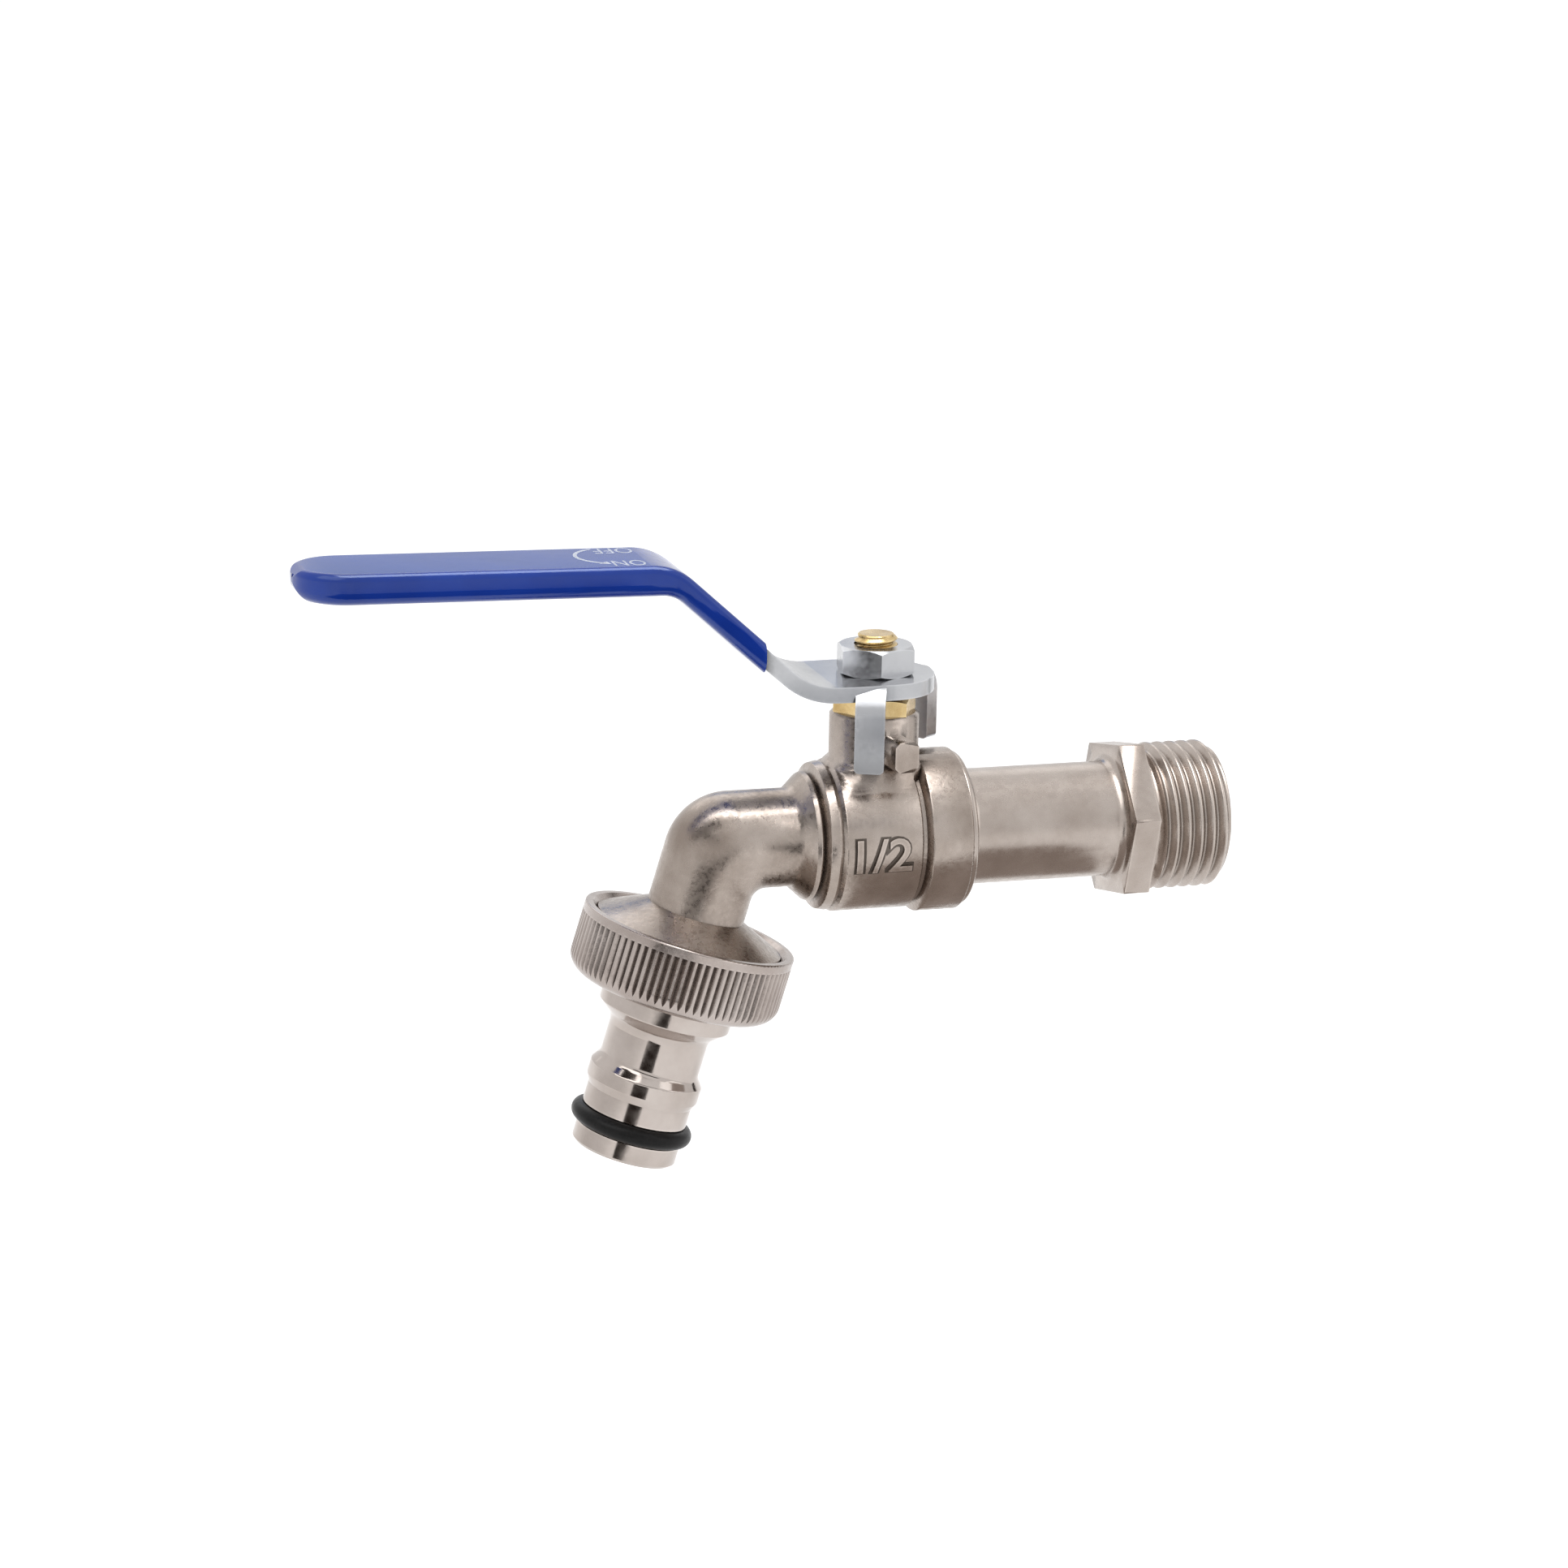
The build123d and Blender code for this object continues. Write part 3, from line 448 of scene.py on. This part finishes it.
cast_nickel = plated_metal(
    "cast_nickel", [(0.28, 0.23, 0.198), (0.375, 0.32, 0.282), (0.47, 0.41, 0.37)],
    (0.22, 0.36), 1500.0, 0.05 * MM, grain_strength=0.55)
# Darker copy of cast nickel: painted shade round the size mark's feet
mark_shade_nickel = plated_metal(
    "mark_shade_nickel", [(0.05, 0.04, 0.034), (0.085, 0.07, 0.06), (0.14, 0.12, 0.105)],
    (0.32, 0.46), 1500.0, 0.03 * MM, wear_and_highlight=0.2)
turned_nickel = plated_metal(
    "turned_nickel", [(0.36, 0.305, 0.27), (0.43, 0.375, 0.338), (0.50, 0.445, 0.405)],
    (0.22, 0.32), 900.0, 0.004 * MM, grain_strength=0.15)
knurled_nickel = plated_metal(
    "knurled_nickel", [(0.31, 0.26, 0.238), (0.39, 0.337, 0.31), (0.47, 0.417, 0.39)],
    (0.18, 0.30), 1800.0, 0.006 * MM)
polished_nickel = plated_metal(
    "polished_nickel", [(0.40, 0.35, 0.318), (0.48, 0.425, 0.392), (0.55, 0.50, 0.465)],
    (0.09, 0.15), 900.0, 0.003 * MM, grime_and_shade=0.5)
zinc_plate = plated_metal(
    "zinc_plate", [(0.38, 0.385, 0.40), (0.43, 0.435, 0.45), (0.48, 0.485, 0.50)],
    (0.20, 0.27), 1400.0, 0.003 * MM, 90.0, grain_strength=0.05, detail=2.0)
turned_brass = plated_metal(
    "turned_brass", [(0.46, 0.32, 0.14), (0.60, 0.44, 0.21), (0.72, 0.56, 0.31)],
    (0.20, 0.34), 1600.0, 0.008 * MM, 300.0)
ball_plate = plated_metal(
    "ball_plate", [(0.56, 0.57, 0.59), (0.63, 0.64, 0.66), (0.68, 0.69, 0.71)],
    (0.06, 0.12), 900.0, 0.003 * MM)
blue_sleeve = dipped_sleeve()
black_rubber = plain_skin("black_rubber", [(0.006, 0.006, 0.006), (0.014, 0.013, 0.013)], (0.28, 0.42), 0.16)
seat_plastic = plain_skin("seat_plastic", [(0.80, 0.80, 0.78), (0.88, 0.88, 0.86)], (0.35, 0.5))
print_white = plain_skin("print_white", [(0.62, 0.68, 0.82), (0.78, 0.82, 0.92)], (0.45, 0.6))

FINISH = {
    "body": cast_nickel,
    "inlet_tail": turned_nickel,
    "ball": ball_plate,
    "seat_ring_inlet": seat_plastic,
    "seat_ring_outlet": seat_plastic,
    "stem": turned_brass,
    "stem_thrust_washer": seat_plastic,
    "stem_packing": seat_plastic,
    "gland_nut": turned_brass,
    "lever": zinc_plate,
    "lever_sleeve": blue_sleeve,
    "handle_nut": zinc_plate,
    "union_nut": knurled_nickel,
    "hose_nozzle": polished_nickel,
    "nozzle_washer": black_rubber,
    "nozzle_o_ring": black_rubber,
}
for node, finish in FINISH.items():
    slots = frame["nodes"][node].data.materials
    slots.clear()
    slots.append(finish)


# Pieces with screw threads, which stand in for their plain solids

def inlet_tail():
    """The tail up to the hexagon's shoulder, closed there, and the threaded end beyond it."""
    tail = node_copy("inlet_tail")
    trim(tail, (0, 0, 0), (1, 0, 0))
    bmesh.ops.remove_doubles(tail, verts=tail.verts, dist=CAD_MERGE)
    bmesh.ops.bridge_loops(tail, edges=open_edges(tail))
    bmesh.ops.recalc_face_normals(tail, faces=tail.faces)
    mesh = baked("tail_to_shoulder", tail)
    piece = put("tail_to_shoulder", mesh, "valve_body", turned_nickel)
    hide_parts("inlet_tail")
    end = INLET_END_X
    skin = screw_thread(INLET_MAJOR_R, INLET_MINOR_R, INLET_PITCH, 0.0, end, INLET_CHAMFER,
                        INLET_RELIEF_R, INLET_RELIEF_WIDTH)
    foot = rim_edges(skin, 0.0)
    rim = grow_ring(skin, rim_edges(skin, end), INLET_BORE_R + BORE_CHAMFER, end)
    rim = grow_ring(skin, rim, INLET_BORE_R, end - BORE_CHAMFER)
    rim = grow_ring(skin, rim, INLET_BORE_R, 0.0)
    bmesh.ops.bridge_loops(skin, edges=foot + rim)
    bmesh.ops.recalc_face_normals(skin, faces=skin.faces)
    bmesh.ops.transform(skin, matrix=Matrix.Rotation(pi / 2, 4, "Y"), verts=skin.verts)
    mesh = baked("inlet_thread", skin, THREAD_CREASE)
    put("inlet_thread", mesh, "valve_body", turned_nickel)


def outlet_end():
    """The body down to just below the flare's edge, closed there, and the threaded end under it."""
    body = node_copy("body")
    trim(body, ELBOW + OUTLET_DOWN * OUTLET_START, OUTLET_DOWN)
    bmesh.ops.bridge_loops(body, edges=open_edges(body))
    bmesh.ops.recalc_face_normals(body, faces=body.faces)
    mesh = baked("body_to_flare", body, CAST_CREASE)
    piece = put("body_to_flare", mesh, "valve_body", cast_nickel)
    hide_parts("body")
    skin = screw_thread(OUTLET_MAJOR_R, OUTLET_MINOR_R, OUTLET_PITCH, OUTLET_START, OUTLET_END,
                        OUTLET_CHAMFER)
    foot = rim_edges(skin, OUTLET_START)
    rim = grow_ring(skin, rim_edges(skin, OUTLET_END), OUTLET_BORE_R, OUTLET_END)
    rim = grow_ring(skin, rim, OUTLET_BORE_R, OUTLET_START)
    bmesh.ops.bridge_loops(skin, edges=foot + rim)
    bmesh.ops.recalc_face_normals(skin, faces=skin.faces)
    down = OUTLET_DOWN.to_track_quat("Z", "Y").to_matrix().to_4x4()
    bmesh.ops.transform(skin, matrix=Matrix.Translation(ELBOW) @ down, verts=skin.verts)
    mesh = baked("outlet_thread", skin, THREAD_CREASE)
    put("outlet_thread", mesh, "valve_body", turned_nickel)


def stem_end():
    """The stem up to just inside the nut, and its screwed end above it."""
    start = NUT_TOP_Z - STEM_START_DEPTH
    shaft = node_copy("stem")
    trim(shaft, (0, 0, start), (0, 0, 1))
    bmesh.ops.holes_fill(shaft, edges=open_edges(shaft))
    bmesh.ops.recalc_face_normals(shaft, faces=shaft.faces)
    piece = put("stem_shaft", baked("stem_shaft", shaft), "lever_set", turned_brass)
    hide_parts("stem")
    skin = screw_thread(STEM_MAJOR_R, STEM_MINOR_R, STEM_PITCH, start, STEM_TOP_Z, STEM_CHAMFER)
    rim = grow_ring(skin, rim_edges(skin, STEM_TOP_Z), STEM_MINOR_R - STEM_RIM_STEP, STEM_TOP_Z)
    grow_ring(skin, rim, STEM_HOLLOW_R, STEM_TOP_Z - STEM_HOLLOW_DEPTH)
    bmesh.ops.holes_fill(skin, edges=open_edges(skin))
    bmesh.ops.recalc_face_normals(skin, faces=skin.faces)
    bmesh.ops.translate(skin, vec=(STEM_X, 0, 0), verts=skin.verts)
    put("stem_screw", baked("stem_screw", skin, THREAD_CREASE), "lever_set", turned_brass)


# Cast mark and print

def letters(words, height, depth, width=None, weight=0.0):
    """Raised lettering in the XY plane as a bmesh, centred, with its back at zero."""
    curve = bpy.data.curves.new("lettering", "FONT")
    curve.body = words
    curve.size = 1.0
    curve.extrude = 0.5
    curve.resolution_u = 4
    curve.offset = weight
    holder = bpy.data.objects.new("lettering", curve)
    bpy.context.scene.collection.objects.link(holder)
    mesh = bpy.data.meshes.new_from_object(holder.evaluated_get(bpy.context.evaluated_depsgraph_get()))
    bpy.data.objects.remove(holder)
    bm = bmesh.new()
    bm.from_mesh(mesh)
    bpy.data.meshes.remove(mesh)
    bmesh.ops.remove_doubles(bm, verts=bm.verts, dist=LETTER_MERGE)
    low = Vector([min(v.co[i] for v in bm.verts) for i in range(3)])
    high = Vector([max(v.co[i] for v in bm.verts) for i in range(3)])
    middle = (low + high) / 2
    size = high - low
    up = height / size.y
    along = width / size.x if width else up
    bmesh.ops.translate(bm, vec=(-middle.x, -middle.y, -low.z), verts=bm.verts)
    bmesh.ops.scale(bm, vec=(along, up, depth / size.z), verts=bm.verts)
    return bm


def cast_mark(name, proud, width, height, weight, finish):
    """One layer of the cast size mark, following the round of the barrel."""
    bm = letters("1/2", height, proud + MARK_SUNK, width, weight)
    long_edges = [e for e in bm.edges if e.calc_length() > MARK_STEP]
    bmesh.ops.subdivide_edges(bm, edges=long_edges, cuts=2, use_grid_fill=True)
    for vert in bm.verts:
        turn = SIZE_MARK_TILT + vert.co.y / BARREL_R
        reach = BARREL_R - MARK_SUNK + vert.co.z
        vert.co = Vector((SIZE_MARK_X + vert.co.x, -reach * cos(turn), reach * sin(turn)))
    bmesh.ops.recalc_face_normals(bm, faces=bm.faces)
    put(name, baked(name, bm), "valve_body", finish)


def size_mark():
    """Cast size mark: raised numerals with painted shade round their feet, as a darker, wider layer under
    them.
    """
    spill = 2 * MARK_SHADE_SPILL
    # Dark layer: painted shade round the numerals' feet
    cast_mark("mark_shade_edge", MARK_SHADE_PROUD, SIZE_MARK_WIDTH + spill, SIZE_MARK_HEIGHT + spill,
              MARK_SHADE_WEIGHT, mark_shade_nickel)
    cast_mark("size_mark", SIZE_MARK_PROUD, SIZE_MARK_WIDTH, SIZE_MARK_HEIGHT, SIZE_MARK_WEIGHT, cast_nickel)


def lay_on_grip(name, bm, sleeve):
    """Lays a thin flat piece on the grip: its heights count from the sleeve's top under each point."""
    for vert in bm.verts:
        top = sleeve.ray_cast(Vector((vert.co.x, vert.co.y, 1.0)), Vector((0, 0, -1)))[0].z
        vert.co.z += top - PRINT_PROUD
    bmesh.ops.recalc_face_normals(bm, faces=bm.faces)
    put(name, baked(name, bm), "lever_set", print_white)


def turned_flat(bm, angle, verts):
    """Turns some vertices about the Z axis."""
    bmesh.ops.rotate(bm, cent=(0, 0, 0), matrix=Matrix.Rotation(angle, 3, "Z"), verts=verts)


def grip_print():
    """Printed turning arc with its arrowhead and two words, lying on the grip."""
    sleeve = BVHTree.FromBMesh(node_copy("lever_sleeve"))
    bm = bmesh.new()
    inner = bm.verts.new((ARC_R - ARC_WIDTH / 2, 0, 0))
    outer = bm.verts.new((ARC_R + ARC_WIDTH / 2, 0, 0))
    stroke = bm.edges.new((inner, outer))
    turned_flat(bm, radians(ARC_START), bm.verts)
    bmesh.ops.spin(bm, geom=[inner, outer, stroke], axis=(0, 0, 1), cent=(0, 0, 0), dvec=(0, 0, 0),
                   angle=radians(ARC_SWEEP), steps=ARC_STEPS, use_duplicate=False)
    head = bmesh.ops.create_circle(bm, cap_ends=True, segments=3, radius=ARROW_R)["verts"]
    turned_flat(bm, radians(ARROW_TURN), head)
    turn = radians(ARC_START + ARC_SWEEP)
    bmesh.ops.translate(bm, vec=(ARC_R * cos(turn), ARC_R * sin(turn), 0), verts=head)
    raised = bmesh.ops.extrude_face_region(bm, geom=bm.faces[:])["geom"]
    top = [g for g in raised if isinstance(g, bmesh.types.BMVert)]
    bmesh.ops.translate(bm, vec=(0, 0, PRINT_PROUD * 2), verts=top)
    bmesh.ops.translate(bm, vec=(*ARC_CENTRE, 0), verts=bm.verts)
    lay_on_grip("turn_arc", bm, sleeve)
    for words, width, x, y in PRINT_WORDS:
        bm = letters(words, PRINT_HEIGHT, PRINT_PROUD * 2, width)
        turned_flat(bm, pi, bm.verts)
        bmesh.ops.translate(bm, vec=(STEM_X + x, y, 0), verts=bm.verts)
        lay_on_grip(f"print_{words.lower()}", bm, sleeve)


inlet_tail()
outlet_end()
stem_end()
size_mark()
grip_print()


# Studio

def seen_directly(tree):
    """1 for what the camera sees, straight, mirrored or through a clear piece; 0 for soft light."""
    path = tree.nodes.new("ShaderNodeLightPath").outputs
    seen = combined(tree, "MAXIMUM", path["Is Camera Ray"], path["Is Glossy Ray"])
    return combined(tree, "MAXIMUM", seen, path["Is Transmission Ray"])


def plain_emission(name, colour, strength):
    """Flat glowing material for a studio card."""
    material = bpy.data.materials.new(name)
    material.use_nodes = True
    tree = material.node_tree
    tree.nodes.remove(tree.nodes["Principled BSDF"])
    glow = tree.nodes.new("ShaderNodeEmission")
    glow.inputs["Color"].default_value = (*colour, 1.0)
    glow.inputs["Strength"].default_value = strength
    link(tree, glow.outputs["Emission"], tree.nodes["Material Output"].inputs["Surface"])
    return material


def studio_floor():
    """Wide pale floor just under the tap: white to the camera where no shadow falls on it."""
    bm = bmesh.new()
    bmesh.ops.create_grid(bm, x_segments=1, y_segments=1, size=FLOOR_REACH)
    bmesh.ops.translate(bm, vec=(0, 0, cad_low.z - FLOOR_DROP), verts=bm.verts)
    mesh = bpy.data.meshes.new("studio_floor")
    bm.to_mesh(mesh)
    bm.free()
    floor = bpy.data.objects.new("studio_floor", mesh)
    bpy.context.scene.collection.objects.link(floor)
    material, tree, shader = shader_nodes("pale_floor")
    shader.inputs["Base Color"].default_value = FLOOR_COLOUR
    shader.inputs["Roughness"].default_value = FLOOR_ROUGHNESS
    shader.inputs["Emission Color"].default_value = (1, 1, 1, 1)
    glow = combined(tree, "MULTIPLY", seen_directly(tree), FLOOR_GLOW)
    link(tree, glow, shader.inputs["Emission Strength"])
    mesh.materials.append(material)


def studio_world():
    """White to the camera and to reflections, a plain grey fill for the rest."""
    world = bpy.data.worlds.new("studio")
    bpy.context.scene.world = world
    world.use_nodes = True
    tree = world.node_tree
    background = tree.nodes["Background"]
    background.inputs["Color"].default_value = (1, 1, 1, 1)
    level = spread(tree, seen_directly(tree), WORLD_FILL, 1.0, 0.0, 1.0)
    link(tree, level, background.inputs["Strength"])


def aim(thing, place, target):
    """Puts a lamp or card in its place, facing the target."""
    thing.location = place
    thing.rotation_mode = "QUATERNION"
    thing.rotation_quaternion = (Vector(target) - Vector(place)).to_track_quat("-Z", "Y")


def soft_lamp(name, place, target, size, power):
    """Large soft area lamp."""
    lamp = bpy.data.lights.new(name, "AREA")
    lamp.shape = "RECTANGLE"
    lamp.size, lamp.size_y = size
    lamp.energy = power
    holder = bpy.data.objects.new(name, lamp)
    bpy.context.scene.collection.objects.link(holder)
    aim(holder, place, target)


def studio_card(name, place, target, size, colour, strength):
    """Card that only shows in reflections, to give shiny surfaces some depth."""
    bm = bmesh.new()
    bmesh.ops.create_grid(bm, x_segments=1, y_segments=1, size=0.5)
    bmesh.ops.scale(bm, vec=(*size, 1), verts=bm.verts)
    mesh = bpy.data.meshes.new(name)
    bm.to_mesh(mesh)
    bm.free()
    card = bpy.data.objects.new(name, mesh)
    bpy.context.scene.collection.objects.link(card)
    mesh.materials.append(plain_emission(name, colour, strength))
    aim(card, place, target)
    card.visible_camera = False
    card.visible_diffuse = False
    card.visible_shadow = False


def photo_camera():
    """Camera at the photograph's angle, distance and framing."""
    side, ahead = sin(CAMERA_AZIMUTH), cos(CAMERA_AZIMUTH)
    drop, flat = sin(CAMERA_ELEVATION), cos(CAMERA_ELEVATION)
    look = Vector((side * flat, ahead * flat, -drop))
    level = Vector((ahead, -side, 0))
    rise = Vector((side * drop, ahead * drop, flat))
    across = level * cos(CAMERA_ROLL) + rise * sin(CAMERA_ROLL)
    upright = rise * cos(CAMERA_ROLL) - level * sin(CAMERA_ROLL)
    place = Vector((STEM_X, 0, 0)) - across * CAMERA_RIGHT - upright * CAMERA_UP - look * CAMERA_AWAY
    lens = bpy.data.cameras.new("photo_camera")
    lens.sensor_width = SENSOR_WIDTH
    lens.lens = SENSOR_WIDTH * PHOTO_FOCAL / PHOTO_SIDE
    lens.clip_start = 0.01
    lens.clip_end = 50.0
    camera = bpy.data.objects.new("photo_camera", lens)
    bpy.context.scene.collection.objects.link(camera)
    turned = Matrix((across, upright, -look)).transposed().to_4x4()
    camera.matrix_world = Matrix.Translation(place) @ turned
    bpy.context.scene.camera = camera


studio_floor()
studio_world()
photo_camera()
middle = (cad_low + cad_high) / 2
for name, place, target, size, power in LAMPS:
    soft_lamp(name, middle + Vector(place), middle + Vector(target), size, power)
for card in CARDS:
    studio_card(*card)

bpy.context.scene.view_settings.view_transform = "Standard"
